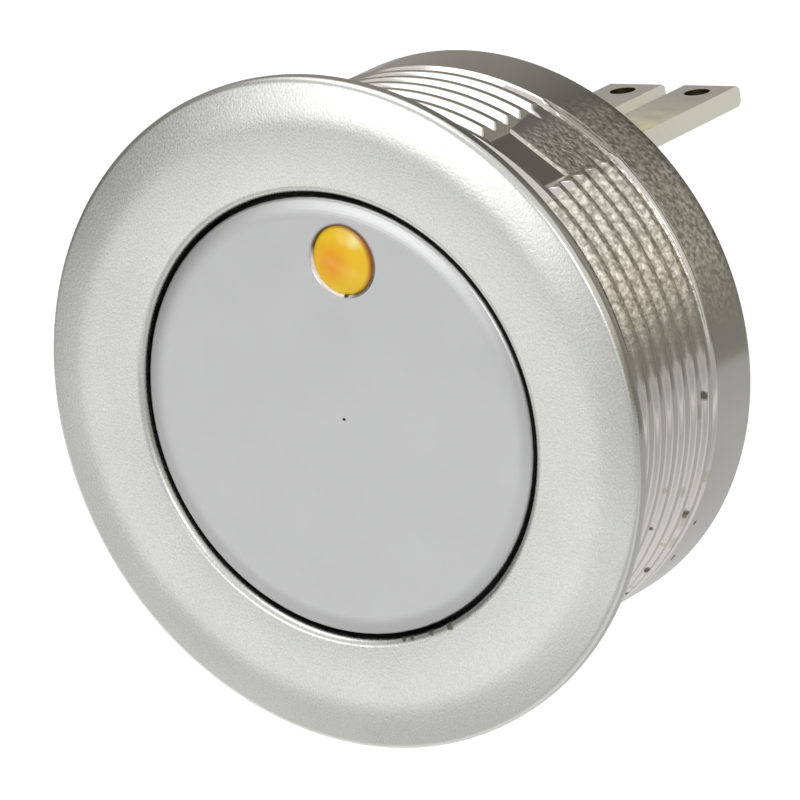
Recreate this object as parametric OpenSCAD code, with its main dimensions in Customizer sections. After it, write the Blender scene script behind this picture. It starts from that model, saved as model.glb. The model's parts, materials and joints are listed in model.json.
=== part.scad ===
// Illuminated push button with a metal bezel, for a round hole in a panel.
// The seat of the bezel on the panel is the plane Y = 0, the face looks along -Y and the lamp is up.
// Every piece is drawn with its local z out of the panel and its local y up, and then stood upright.

/* [Bezel] */
// Outside diameter of the bezel
bezel_d = 25; // [24.4:0.1:27]
// Height of the flat of the bezel above the panel
bezel_h = 0.8; // [0.75:0.05:1]
// Height of the bezel at its rim, before the rounding
bezel_rim = 0.58; // [0.55:0.01:0.65]
// Share of the ring, from the hole outwards, that is flat
bezel_flat_share = 0.62; // [0.4:0.01:0.65]
// Rounding at the mouth of the hole
hole_round = 0.3; // [0.1:0.01:0.35]
// Rounding of the rim at its front
rim_round = 0.25; // [0.1:0.01:0.3]
// Rounding of the rim at the panel
rim_back_round = 0.12; // [0.05:0.01:0.15]
// Radius that blends the flat of the bezel into its bevel
bezel_blend = 2.5; // [1:0.5:4]

/* [Sleeve] */
// Outside diameter of the threaded length
thread_d = 21.6; // [21.4:0.1:22.2]
// Length of the plain neck behind the bezel
neck_len = 2.65; // [2.5:0.05:2.9]
// Length of the threaded part
thread_len = 5.05; // [4.85:0.05:9]
// Length of the plain band at the rear
band_len = 2.5; // [2.3:0.1:4]
// Depth of the neck below the thread
neck_drop = 0.35; // [0.3:0.05:0.5]
// Depth of the rear band below the thread
band_drop = 0; // [0:0.05:0.15]
// Depth of the run-out at the rear end of the thread
run_out = 0.25; // [0.2:0.05:0.3]
// Depth of the keying groove below the thread
key_depth = 0.45; // [0.3:0.05:0.5]
// Width of the floor of the keying groove
key_floor_w = 2.6; // [2:0.1:4]
// Width of the keying groove at the thread
key_mouth_w = 4; // [3.4:0.1:6]
// Turn of the keying groove from the top towards the right
key_turn = 25.2; // [0:0.1:90]
// Length of the thread in front of the keying groove
key_start = 0.45; // [0.3:0.05:0.8]

/* [Button] */
// Diameter of the button's face
button_d = 16.3; // [15.9:0.1:16.4]
// Gap between the button and the bezel
button_gap = 0.16; // [0.15:0.01:0.3]
// Depth of the button's face below the bezel
button_recess = 0.05; // [0:0.05:0.2]
// Rounding of the button's edge
button_edge = 0.15; // [0.1:0.01:0.25]
// Radius of the button's crown, from the flat of its face to its edge
crown_r = 2.6; // [2:0.1:4]
// Slope of the crown where it meets the edge
crown_angle = 15; // [10:1:20]
// Thickness of the button's front wall
button_plate = 1.4; // [1.35:0.05:1.5]
// Travel of the button
travel = 1.5; // [1:0.1:1.6]

/* [Lamp] */
// Diameter of the lens
lens_d = 2.44; // [1.8:0.02:2.44]
// Height of the lens above the centre of the button
lens_up = 5.97; // [5.7:0.01:5.98]
// Depth of the lens's edge below the button's face
lens_recess = 0.2; // [0.15:0.05:0.35]
// Height of the lens's dome
lens_dome = 0.15; // [0.1:0.05:0.3]

/* [Terminals] */
// Width of the switch blades
blade_w = 2.3; // [2:0.1:2.4]
// Thickness of the switch blades
blade_t = 0.8; // [0.5:0.1:0.8]
// Distance between the centres of the switch blades
blade_pitch = 3.3; // [3.1:0.1:3.6]
// Height of the top of the switch blades above the centre
blade_up = 5.85; // [5.6:0.05:6.4]
// Depth of the tips of the switch blades behind the panel
blade_depth = 24.4; // [20:0.1:26]
// Turn of the base and its terminals about the axis, anticlockwise from the front
base_turn = 11; // [0:0.5:12]
// Width of the lamp blades
lamp_blade_w = 2; // [1.5:0.1:2.2]
// Thickness of the lamp blades
lamp_blade_t = 0.5; // [0.4:0.1:0.8]
// Distance between the centres of the lamp blades
lamp_blade_pitch = 5; // [4.5:0.1:5.5]
// Depth of the tips of the lamp blades behind the panel
lamp_blade_depth = 19.8; // [17:0.1:21]

/* [Inside] */
// Length of the return spring at rest
spring_len = 4.4; // [4.3:0.1:4.6]
// Diameter of the return spring's wire
spring_wire = 0.5; // [0.4:0.05:0.5]
// Share of the travel that closes the contacts
contact_share = 0.6667; // [0.5:0.0001:0.7]
// Thickness of the lamp's board
board_t = 0.8; // [0.6:0.1:0.8]

/* [Hidden] */
$fn = 96;

// Clearances
seat_gap = 0.02;
slide_gap = 0.1;
stop_gap = 0.05;
press_gap = 0.01;
end_gap = 0.2;
cut = 1;

// Radii of the housing, from the button outwards
lip_overlap = 0.94;
bore_step = 0.25;
ring_bite = 0.4;
button_r = button_d / 2;
hole_r = button_r + button_gap;
cap_flange_r = hole_r + lip_overlap;
front_bore_r = cap_flange_r + slide_gap + stop_gap;
rear_bore_r = front_bore_r + bore_step;
ring_groove_r = rear_bore_r + ring_bite;
thread_r = thread_d / 2;
neck_r = thread_r - neck_drop;
band_r = thread_r - band_drop;
bezel_r = bezel_d / 2;
bezel_flat_r = hole_r + bezel_flat_share * (bezel_r - hole_r);
bevel_angle = atan((bezel_h - bezel_rim) / (bezel_r - bezel_flat_r));
arc_steps = 6;
body_edge = 0.15;
lead_in = 0.2;
key_overrun = 0.1;

// Depths behind the panel, from the front to the rear
base_rise = 0.22;
base_collar = 2.2;
base_tail = 2.2;
block_len = 2;
cap_flange_t = 0.8;
thread_end = neck_len + thread_len;
body_len = thread_end + band_len;
lip_depth = 1.2;
face_z = bezel_h - button_recess;
plate_depth = button_plate - face_z;
cap_flange_front = lip_depth + stop_gap;
cap_flange_back = cap_flange_front + cap_flange_t;
plunger_top = plate_depth + seat_gap;
plunger_disc_t = 1;
plunger_seat = plunger_top + plunger_disc_t;
base_top = plunger_seat + spring_len;
base_step = base_top + base_rise;
base_shoulder = base_step + base_collar;
ring_t = 0.8;
ring_front = base_shoulder + stop_gap;
ring_back = ring_front + ring_t;
base_rear = base_shoulder + base_tail;
block_rear = base_rear + block_len;
board_top = base_top - board_t;

// Button's inside
cap_wall = 1.55;
cap_bore_r = button_r - cap_wall;
plunger_r = cap_bore_r - slide_gap;
cap_seal_wire_r = 0.44;
cap_seal_groove_r = hole_r - press_gap - 2 * cap_seal_wire_r - seat_gap;
cap_seal_groove_w = 2 * cap_seal_wire_r + slide_gap;
cap_seal_depth = 0.35;
lens_r = lens_d / 2;
lens_hole_r = lens_r + stop_gap + seat_gap;
lens_chamfer = 0.05;
lens_back = plate_depth + stop_gap;
lens_edge_z = face_z - lens_recess;
lens_sphere_r = (lens_r * lens_r + lens_dome * lens_dome) / (2 * lens_dome);

// Lamp
led_w = 2;
led_l = 1.6;
led_h = 0.9;
led_window_r = 0.6;
led_window_h = 0.1;
led_top = board_top - led_h;
pipe_drop = 0.18;
pipe_r = lens_r - pipe_drop;
pipe_back = led_top - travel - end_gap;
resistor_w = 2;
resistor_l = 1.25;
resistor_h = 0.5;
resistor_at = [-5, 4.9];
board_r = front_bore_r - end_gap - stop_gap;
board_bore_r = 4.7;

// Guides between the base and the plunger
guide_at = 5.35;
guide_pin_r = 0.6;
guide_hole_r = guide_pin_r + slide_gap;
guide_sleeve_r = 1;
guide_sleeve_back = board_top - travel - end_gap;
guide_pin_top = plate_depth + travel + slide_gap;
guide_pin_hold = 1.6;
guide_pin_back = base_top + guide_pin_hold;

// Contacts
contact_at = 2.4;
contact_r = 0.8;
contact_t = 0.35;
rivet_h = 0.28;
rivet_shank_r = 0.5;
bridge_t = 0.35;
bridge_r = 3.3;
bridge_w = 2.2;
rivet_drop = 0.55;
rivet_top = base_top + rivet_drop;
strip_top = rivet_top + rivet_h;
contact_low = rivet_top - contact_share * travel - seat_gap;
bridge_low = contact_low - contact_t;
bridge_top = bridge_low - bridge_t;
stem_r = 1.5;
contact_spring_len = 1.8;
stem_back = bridge_top - contact_spring_len;
pin_r = 0.6;
bridge_hole_r = pin_r + slide_gap;
clip_r = 1.1;
clip_t = 0.3;
clip_front = bridge_low + seat_gap;
pin_back = clip_front + clip_t + end_gap;
pit_r = clip_r + slide_gap + stop_gap;
pit_back = pin_back + travel + end_gap;
pocket_side = 0.3;
pocket_ends = 0.5;
pocket_half_w = contact_at + contact_r + pocket_side;
pocket_half_h = bridge_w / 2 + pocket_ends;

// Terminals
strip_back = strip_top + blade_t;
pad_half_h = 1;
blade_low = blade_up - blade_t;
blade_chamfer = 0.15;
blade_hole_r = 0.5;
blade_hole_in = 1.35;
blade_tip_len = 0.35;
blade_tip_t = 0.25;
foot_out = contact_at + contact_r;
foot_in = pit_r + end_gap;
lamp_blade_at = lamp_blade_pitch / 2;
lamp_blade_up = -6.2;
lamp_blade_front = board_top - end_gap;
lamp_blade_hole_r = 0.45;
lamp_blade_hole_in = 1.7;
lamp_blade_chamfer = 0.4;
block_wall = 0.7;
block_side = 0.9;
block_half_w = max(blade_pitch + blade_w, lamp_blade_pitch + lamp_blade_w) / 2 + block_side;
block_top = blade_up + block_wall;
block_low = lamp_blade_up - block_side;
block_corner = 0.8;

// Base
base_r = rear_bore_r - slide_gap;
base_front_r = front_bore_r - slide_gap;
shoulder_w = 0.9;
tail_edge = 0.4;
base_tail_r = base_r - shoulder_w;
base_seal_wire_r = 0.35;
base_seal_r = rear_bore_r - press_gap - base_seal_wire_r;
base_seal_groove_r = base_seal_r - base_seal_wire_r - seat_gap;
base_seal_depth = (base_step + base_shoulder) / 2;
ring_in_r = base_tail_r + slide_gap + stop_gap;
ring_out_r = ring_groove_r - stop_gap;
ring_mouth = 30;

// Springs
coil_r = 3.9;
coil_turns = 4.5;
contact_coil_r = 1.05;
contact_wire = 0.3;
contact_turns = 3;
closed_turn = 0.75;
wire_sides = 8;
turn_steps = 18;

// Stands a piece upright: local z turns to the front and local y to the top.
module upright() {
    rotate([90, 0, 0]) children();
}

// Stands a piece upright that is turned about the axis together with the base.
module turned() {
    upright() rotate([0, 0, base_turn]) children();
}

// Puts a piece at the two guides between the base and the plunger, in the base's own frame.
module at_guides() {
    for (side = [-1, 1]) translate([side * guide_at, 0, 0]) children();
}

// Points of an arc about a centre, with its angles from the outward axis towards larger radii.
function arc(centre, r, start, end) = [for (i = [0 : arc_steps])
    let (a = start + (end - start) * i / arc_steps) centre + r * [sin(a), cos(a)]];

// A ring of round section about the local axis.
module round_ring(mean_r, wire_r, depth) {
    rotate_extrude() translate([mean_r, -depth]) circle(wire_r);
}

// A solid cylinder between two depths behind the panel.
module rod(r, front, back) {
    translate([0, 0, -back]) cylinder(r = r, h = back - front);
}

// A straight block between two depths, centred on x and from low to high in y.
module slab(width, low, high, front, back) {
    translate([-width / 2, low, -back]) cube([width, high - low, back - front]);
}

// A block as above with rounded corners.
module round_slab(width, low, high, front, back, corner) {
    translate([0, 0, -back]) linear_extrude(back - front) {
        translate([-width / 2 + corner, low]) square([width - 2 * corner, high - low]);
        translate([-width / 2, low + corner]) square([width, high - low - 2 * corner]);
        for (side = [-1, 1], y = [low + corner, high - corner])
            translate([side * (width / 2 - corner), y]) circle(corner);
    }
}

// A flat blade from low to high in y, with chamfered corners at its tip and a hole for the plug.
module blade(width, low, high, front, depth, corner, hole_r, hole_in) {
    translate([0, high, 0]) rotate([90, 0, 0]) linear_extrude(high - low) difference() {
        polygon([
            [-width / 2, -front],
            [width / 2, -front],
            [width / 2, corner - depth],
            [width / 2 - corner, -depth],
            [corner - width / 2, -depth],
            [-width / 2, corner - depth]
        ]);
        translate([0, hole_in - depth]) circle(hole_r);
    }
}

// Rise of a coil along its open turns, between its closed ends.
function coil_rise(turn, turns) = min(1, max(0, (turn - closed_turn) / (turns - 2 * closed_turn)));

// A coil spring of round wire between two depths.
module coil(mean_r, wire, turns, front, back) {
    steps = turns * turn_steps;
    start = -back + wire / 2;
    pile = wire * closed_turn;
    run = back - front - wire - 2 * pile;
    lift = function(turn) start + run * coil_rise(turn, turns) + wire * (min(turn, closed_turn)
        + max(0, turn - turns + closed_turn));
    rings = [for (i = [0 : steps]) let (turn = i / turn_steps)
        for (j = [0 : wire_sides - 1]) let (a = 360 * j / wire_sides, r = mean_r + wire / 2 * cos(a))
            [r * cos(360 * turn), r * sin(360 * turn), lift(turn) + wire / 2 * sin(a)]];
    sides = [for (i = [0 : steps - 1]) for (j = [0 : wire_sides - 1])
        let (k = (j + 1) % wire_sides, here = i * wire_sides, next = here + wire_sides)
            [here + j, next + j, next + k, here + k]];
    first = [for (j = [0 : wire_sides - 1]) j];
    last = [for (j = [wire_sides - 1 : -1 : 0]) steps * wire_sides + j];
    polyhedron(rings, concat(sides, [first, last]), convexity = 8);
}

// Bezel and sleeve, turned as one piece, with the keying groove across the thread.
module housing() {
    groove_slope = (key_mouth_w - key_floor_w) / 2 / key_depth;
    groove_reach = key_depth + cut;
    groove_top_w = key_floor_w + 2 * groove_slope * groove_reach;
    groove_front = neck_len + key_start;
    groove_back = thread_end + key_overrun;
    floor_y = thread_r - key_depth;
    blend_start = bezel_flat_r - bezel_blend * tan(bevel_angle / 2);
    rim_z = bezel_rim - rim_round * tan(45 - bevel_angle / 2);
    mouth = arc([hole_r + hole_round, bezel_h - hole_round], hole_round, -90, 0);
    blend = arc([blend_start, bezel_h - bezel_blend], bezel_blend, 0, bevel_angle);
    rim = arc([bezel_r - rim_round, rim_z], rim_round, bevel_angle, 90);
    rim_back = arc([bezel_r - rim_back_round, rim_back_round], rim_back_round, 90, 180);
    color("#cbccc7") upright() difference() {
        rotate_extrude() polygon(concat(mouth, blend, rim, rim_back, [
            [neck_r, 0],
            [neck_r, -neck_len],
            [thread_r - lead_in, -neck_len],
            [thread_r, -neck_len - lead_in],
            [thread_r, -thread_end + run_out],
            [thread_r - run_out, -thread_end],
            [band_r, -thread_end],
            [band_r, -body_len + body_edge],
            [band_r - body_edge, -body_len],
            [rear_bore_r, -body_len],
            [rear_bore_r, -ring_back - stop_gap],
            [ring_groove_r, -ring_back - stop_gap],
            [ring_groove_r, -ring_front],
            [rear_bore_r, -ring_front],
            [rear_bore_r, -base_step],
            [front_bore_r, -base_step],
            [front_bore_r, -lip_depth],
            [hole_r, -lip_depth]
        ]));
        rotate([0, 0, -key_turn]) translate([0, floor_y, -groove_back])
            linear_extrude(groove_back - groove_front) polygon([
                [-key_floor_w / 2, 0],
                [key_floor_w / 2, 0],
                [groove_top_w / 2, groove_reach],
                [-groove_top_w / 2, groove_reach]
            ]);
    }
}

// Button's metal cap, crowned towards its edge, with a flange that the bezel's lip holds and a seal groove.
module actuator_cap() {
    edge_at = [button_r - button_edge, face_z - crown_r + (crown_r - button_edge) * cos(crown_angle)];
    crown_at = [edge_at[0] - (crown_r - button_edge) * sin(crown_angle), face_z - crown_r];
    crown = arc(crown_at, crown_r, 0, crown_angle);
    edge = arc(edge_at, button_edge, crown_angle, 90);
    color("#c2c3c4") upright() difference() {
        rotate_extrude() difference() {
            polygon(concat([[0, face_z]], crown, edge, [
                [button_r, -cap_flange_front],
                [cap_flange_r, -cap_flange_front],
                [cap_flange_r, -cap_flange_back],
                [0, -cap_flange_back]
            ]));
            translate([cap_seal_groove_r, -cap_seal_depth - cap_seal_groove_w / 2])
                square([cut, cap_seal_groove_w]);
            translate([0, -cap_flange_back - cut]) square([cap_bore_r, cap_flange_back + cut - plate_depth]);
        }
        translate([0, lens_up, 0]) rod(lens_hole_r, -face_z - cut, cap_flange_back + cut);
        translate([0, lens_up, face_z - lens_chamfer])
            cylinder(r1 = lens_hole_r, r2 = lens_hole_r + lens_chamfer, h = lens_chamfer);
    }
}

// Domed amber lens in the cap.
module lens() {
    color("#f2a413") upright() translate([0, lens_up, 0]) {
        rod(lens_r, -lens_edge_z, lens_back);
        translate([0, 0, lens_edge_z]) intersection() {
            translate([0, 0, lens_dome - lens_sphere_r]) sphere(lens_sphere_r);
            cylinder(r = lens_r, h = cut);
        }
    }
}

// Clear rod that brings the light to the lens.
module light_pipe() {
    color("#e8eef0") upright() translate([0, lens_up, 0]) rod(pipe_r, lens_back, pipe_back);
}

// Seal ring between the cap and the bezel's hole.
module cap_seal() {
    color("#1b1b1c") upright()
        round_ring(hole_r - press_gap - cap_seal_wire_r, cap_seal_wire_r, cap_seal_depth);
}

// Moulded plunger under the cap, with its stem, its pin and two guide sleeves.
module plunger() {
    color("#e4e2da") upright() difference() {
        union() {
            rod(plunger_r, plunger_top, plunger_seat);
            rod(stem_r, plunger_top, stem_back);
            rod(pin_r, plunger_top, pin_back);
            rotate([0, 0, base_turn]) at_guides() rod(guide_sleeve_r, plunger_top, guide_sleeve_back);
        }
        rotate([0, 0, base_turn]) at_guides()
            rod(guide_hole_r, plunger_top - cut, guide_sleeve_back + cut);
        translate([0, lens_up, 0]) rod(lens_hole_r, plunger_top - cut, plunger_seat + cut);
    }
}

// Open clip that holds the bridge on the plunger's pin.
module plunger_clip() {
    color("#9a9c9e") upright() difference() {
        rod(clip_r, clip_front, clip_front + clip_t);
        rod(pin_r + press_gap, clip_front - cut, clip_front + clip_t + cut);
        slab(pin_r, -clip_r - cut, 0, clip_front - cut, clip_front + clip_t + cut);
    }
}

// Spring that brings the button back.
module return_spring() {
    color("#b9bcc0") upright()
        coil(coil_r, spring_wire, coil_turns, plunger_seat + seat_gap, base_top - seat_gap);
}

// Moving bridge of the contacts.
module contact_bridge() {
    color("#c98a4b") turned() difference() {
        intersection() {
            rod(bridge_r, bridge_top, bridge_low);
            slab(2 * bridge_r, -bridge_w / 2, bridge_w / 2, bridge_top, bridge_low);
        }
        rod(bridge_hole_r, bridge_top - cut, bridge_low + cut);
    }
}

// Silver tips of the bridge.
module bridge_contacts() {
    color("#d9dadb") turned() for (side = [-1, 1]) translate([side * contact_at, 0, 0])
        rod(contact_r, bridge_low, contact_low);
}

// Spring that presses the bridge on once the contacts meet.
module contact_spring() {
    color("#b9bcc0") upright()
        coil(contact_coil_r, contact_wire, contact_turns, stem_back + seat_gap, bridge_top - seat_gap);
}

// Bent strip seen from the side, with its bend rounded outside and its tip bevelled on both faces.
module bent_strip(width) {
    tip_front = blade_depth - blade_tip_len;
    tip_apex = tip_front + blade_t / 2 * blade_tip_len / blade_tip_t;
    translate([-width / 2, 0, 0]) rotate([90, 0, 90]) linear_extrude(width) {
        translate([-pad_half_h, -strip_back]) square([pad_half_h + blade_low, blade_t]);
        polygon([
            [blade_low, -strip_back],
            [blade_up, -strip_back],
            [blade_up, -tip_front],
            [(blade_low + blade_up) / 2, -tip_apex],
            [blade_low, -tip_front]
        ]);
        translate([blade_low, -strip_back]) intersection() {
            circle(blade_t);
            square(blade_t);
        }
    }
}

// Foot of the switch terminal on the right, grown on all sides by a gap.
module switch_foot(gap) {
    width = foot_out - foot_in + 2 * gap;
    half_h = pad_half_h + gap;
    translate([(foot_in + foot_out) / 2, 0, 0])
        slab(width, -half_h, half_h, strip_top - gap, strip_back + gap);
}

// Switch terminal on the right, with a hole for the plug and one for the rivet.
module switch_terminal() {
    difference() {
        union() {
            translate([blade_pitch / 2, 0, 0]) intersection() {
                bent_strip(blade_w + 2 * cut);
                blade(blade_w, -pad_half_h - cut, blade_up + cut, strip_top - cut, blade_depth,
                    blade_chamfer, blade_hole_r, blade_hole_in);
            }
            switch_foot(0);
        }
        translate([contact_at, 0, 0]) rod(rivet_shank_r + press_gap, strip_top - cut, strip_back + cut);
        slab(2 * foot_in, -pad_half_h - cut, pad_half_h + cut, strip_top - cut, strip_back + cut);
    }
}

// Slot in the base for the switch terminal on the right.
module switch_slot() {
    slot_w = blade_w + 2 * seat_gap;
    slot_top = blade_up + seat_gap;
    switch_foot(seat_gap);
    translate([blade_pitch / 2, 0, 0]) {
        slab(slot_w, -pad_half_h - seat_gap, slot_top, strip_top - seat_gap, strip_back + seat_gap);
        slab(slot_w, blade_low - seat_gap, slot_top, strip_back, block_rear + cut);
    }
}

module switch_terminal_left() {
    color("#c9c4b4") turned() mirror([1, 0, 0]) switch_terminal();
}

module switch_terminal_right() {
    color("#c9c4b4") turned() switch_terminal();
}

// Rivets of the fixed contacts on the switch terminals.
module fixed_contacts() {
    color("#d9dadb") turned() for (side = [-1, 1]) translate([side * contact_at, 0, 0]) {
        rod(contact_r, rivet_top, strip_top);
        rod(rivet_shank_r, strip_top, strip_back);
    }
}

// Straight lamp terminal with its hole, at a place along x.
module lamp_terminal(at) {
    translate([at, 0, 0]) blade(lamp_blade_w, lamp_blade_up, lamp_blade_up + lamp_blade_t, lamp_blade_front,
        lamp_blade_depth, lamp_blade_chamfer, lamp_blade_hole_r, lamp_blade_hole_in);
}

module led_terminal_left() {
    color("#c9c4b4") turned() lamp_terminal(-lamp_blade_at);
}

module led_terminal_right() {
    color("#c9c4b4") turned() lamp_terminal(lamp_blade_at);
}

// Slots for the lamp terminals.
module lamp_slots(front, back) {
    for (side = [-1, 1]) translate([side * lamp_blade_at, 0, 0])
        slab(lamp_blade_w + 2 * seat_gap, lamp_blade_up - seat_gap, lamp_blade_up + lamp_blade_t + seat_gap,
            front, back);
}

// Ring-shaped board that carries the lamp.
module led_board() {
    color("#2f6b45") turned() difference() {
        rod(board_r, board_top, base_top);
        rod(board_bore_r, board_top - cut, base_top + cut);
        at_guides() rod(guide_hole_r, board_top - cut, base_top + cut);
        lamp_slots(board_top - cut, base_top + cut);
    }
}

// Lamp on the board, with a round window under the light pipe.
module led() {
    color("#f0e9d2") upright() translate([0, lens_up, 0]) {
        slab(led_w, -led_l / 2, led_l / 2, led_top + led_window_h, board_top);
        rod(led_window_r, led_top, led_top + led_window_h);
    }
}

// Resistor of the lamp.
module led_resistor() {
    color("#26262a") turned() translate(resistor_at)
        slab(resistor_w, -resistor_l / 2, resistor_l / 2, board_top - resistor_h, board_top);
}

// Steel pins that keep the plunger from turning.
module guide_pins() {
    color("#b4b7ba") turned() at_guides() rod(guide_pin_r, guide_pin_top, guide_pin_back);
}

// Moulded base that closes the sleeve and carries the terminals.
module terminal_base() {
    color("#2a2a2c") turned() difference() {
        union() {
            rod(base_front_r, base_top, base_step + stop_gap);
            rod(base_r, base_step + seat_gap, base_shoulder);
            rod(base_tail_r, base_shoulder - cut / 2, base_rear - tail_edge);
            translate([0, 0, -base_rear])
                cylinder(r1 = base_tail_r - tail_edge, r2 = base_tail_r, h = tail_edge);
            round_slab(2 * block_half_w, block_low, block_top, base_rear - cut / 2, block_rear, block_corner);
        }
        rotate_extrude() translate([base_seal_groove_r, -base_seal_depth - base_seal_wire_r - stop_gap])
            square([cut, 2 * (base_seal_wire_r + stop_gap)]);
        slab(2 * pocket_half_w, -pocket_half_h, pocket_half_h, base_top - cut, strip_top);
        rod(pit_r, base_top - cut, pit_back);
        switch_slot();
        mirror([1, 0, 0]) switch_slot();
        lamp_slots(base_top - cut, block_rear + cut);
        at_guides() rod(guide_pin_r + press_gap, base_top - cut, guide_pin_back + press_gap);
    }
}

// Seal ring round the base.
module base_seal() {
    color("#1b1b1c") upright() round_ring(base_seal_r, base_seal_wire_r, base_seal_depth);
}

// Open snap ring that holds the base in the sleeve.
module retaining_ring() {
    color("#9a9c9e") upright() rotate([0, 0, -90 + ring_mouth / 2])
        rotate_extrude(angle = 360 - ring_mouth) translate([ring_in_r, -ring_back])
            square([ring_out_r - ring_in_r, ring_t]);
}

housing();
terminal_base();
base_seal();
retaining_ring();
guide_pins();
led_board();
led();
led_resistor();
switch_terminal_left();
switch_terminal_right();
fixed_contacts();
led_terminal_left();
led_terminal_right();
actuator_cap();
lens();
light_pipe();
cap_seal();
plunger();
plunger_clip();
return_spring();
contact_bridge();
bridge_contacts();
contact_spring();
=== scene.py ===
"""Looks of an illuminated push button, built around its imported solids."""

import json
import math

import bpy
from mathutils import Matrix, Vector


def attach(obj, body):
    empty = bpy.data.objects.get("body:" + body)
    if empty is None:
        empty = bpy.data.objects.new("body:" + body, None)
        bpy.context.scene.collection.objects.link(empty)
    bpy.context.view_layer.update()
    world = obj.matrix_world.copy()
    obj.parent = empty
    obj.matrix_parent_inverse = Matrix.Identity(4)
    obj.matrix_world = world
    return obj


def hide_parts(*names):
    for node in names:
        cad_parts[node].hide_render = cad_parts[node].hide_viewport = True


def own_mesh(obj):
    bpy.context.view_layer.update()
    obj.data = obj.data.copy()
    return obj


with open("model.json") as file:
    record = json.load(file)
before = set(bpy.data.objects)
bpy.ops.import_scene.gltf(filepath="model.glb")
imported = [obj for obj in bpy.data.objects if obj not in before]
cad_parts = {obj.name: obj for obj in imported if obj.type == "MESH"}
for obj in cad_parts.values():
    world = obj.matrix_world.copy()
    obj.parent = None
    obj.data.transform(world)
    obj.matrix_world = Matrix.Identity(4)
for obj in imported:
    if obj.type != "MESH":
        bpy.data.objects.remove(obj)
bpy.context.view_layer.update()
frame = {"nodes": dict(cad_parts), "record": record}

# Sizes in millimetres; y is the depth behind the panel, and a turn runs clockwise from the top
MM = 0.001
BEZEL_R = 12.5
BEZEL_H = 0.8
BEZEL_RIM = 0.58
BEZEL_FLAT_SHARE = 0.62
BEZEL_BLEND = 6
HOLE_R = 8.31
HOLE_ROUND = 0.3
RIM_ROUND = 0.25
RIM_BACK_ROUND = 0.12
FINE_ROUND = 0.05
THREAD_R = 10.8
THREAD_DEPTH = 0.2
THREAD_PITCH = 0.831
CREST_SHARE = 0.24
ROOT_SHARE = 0.08
CREST_DEPTH = 3.04
CREST_TURN = 69.7
LEAD_IN = 0.2
NECK_R = 10.45
NECK_LEN = 2.65
THREAD_END = 7.7
BAND_R = 10.8
BAND_CHAMFER = 0.08
BAND_ROUND = 0.25
BODY_LEN = 10.2
KEY_TURN = 25.2
KEY_FLOOR = 10.35
KEY_FLOOR_W = 2.6
KEY_MOUTH_W = 4
KEY_ENDS = (3.1, 7.8)
KEY_STEP = 0.06
KEY_STEP_AT = (5, 5.12)
KEY_RISE = 0.23
REAR_BORE_R = 9.65
FRONT_BORE_R = 9.4
RING_GROOVE_R = 10.05
RING_GROOVE = (8.54, 9.39)
BASE_STEP = 6.29
LIP_DEPTH = 1.2
BLADE_AT = 1.65
BLADE_HOLE_AT = 23.05
BLADE_HOLE_HALF = 0.55
BLADE_CORE = 0.9
BASE_TURN = math.radians(11)
LENS_R = 1.28
LENS_UP = 5.97
LENS_EDGE = -0.64
LENS_DOME = 0.15
LENS_BACK = 0.7
LENS_ROUND = 0.02
LAMP_RIM = (1.27, 1.4)
LAMP_RIM_DEPTH = 0.09
LAMP_EDGE = (1.32, 1.37)
LAMP_LIT = (0.55, 0.95)
LOW_LEFT = (-0.6, -0.8)
RETURN_SPRING = {"mean_r": 3.9, "wire": 0.5, "turns": 4.5, "front": 1.69, "back": 6.05}
CONTACT_SPRING = {"mean_r": 1.05, "wire": 0.3, "turns": 3, "front": 3.12, "back": 4.88}
CLOSED_TURN = 0.75

# Small marks, each by its place and half sizes: on the sleeve by turn and depth, elsewhere by x and z
SLEEVE_MARKS = [
    (84.4, 6.93, 1, 0.12),
    (108.7, 4.48, 0.5, 0.11),
    (110, 7.06, 1.1, 0.1),
    (114, 8.13, 0.5, 0.1),
    (123, 6.33, 0.9, 0.13),
    (123.7, 8.19, 0.9, 0.13),
    (130.5, 6.38, 0.5, 0.11),
]
SLEEVE_STAINS = [
    (86.9, 6.4, 1.6, 0.15),
    (100, 4.62, 0.7, 0.13),
    (102.4, 7.61, 1.4, 0.14),
    (103.4, 6.15, 1.2, 0.13),
    (111, 7.08, 2.4, 0.22),
    (116, 6.27, 0.5, 0.11),
    (117, 7.15, 1.6, 0.12),
    (120.8, 6.4, 0.5, 0.11),
    (126.5, 8.45, 2.8, 0.12),
    (128.4, 6.37, 0.5, 0.11),
]
HOLE_MARKS = [
    (3.2, -7.76, 0.13, 0.06),
    (3.5, -7.62, 0.11, 0.07),
    (4.3, -7.22, 0.17, 0.09),
    (5.1, -6.75, 0.2, 0.12),
]
HOLE_MARKS_END = -0.45
FACE_MARKS = [
    (0.21, 4.69, 0.1, 0.07),
    (0.33, 0.03, 0.07, 0.06),
]

# Stretches of turn or depth on which the housing's finish and its painted sheen change, and shares of its
# painted shade and of its stains
SLEEVE_FRONT = (-0.5, -0.38)
COARSE_START = (18, 24)
COARSE_END = (60, 74)
COARSE_FRONT = (2.5, 2.8)
BAND_LINE = (7.71, 0.09, 0.11)
COARSE_GROOVE_TURN = 36
GROOVE_DARK_SHARE = 0.35
NECK_DARK = (2.4, 2.6)
NECK_DARK_SHARE = 0.6
DARK_EDGE = (9.6, 10.1)
DARK_EDGE_SHARE = 0.7
STAIN_SHARE = 0.4
TINGE_END = (16, 22)
TINGE_SHARES = (0.1, 1)

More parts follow.
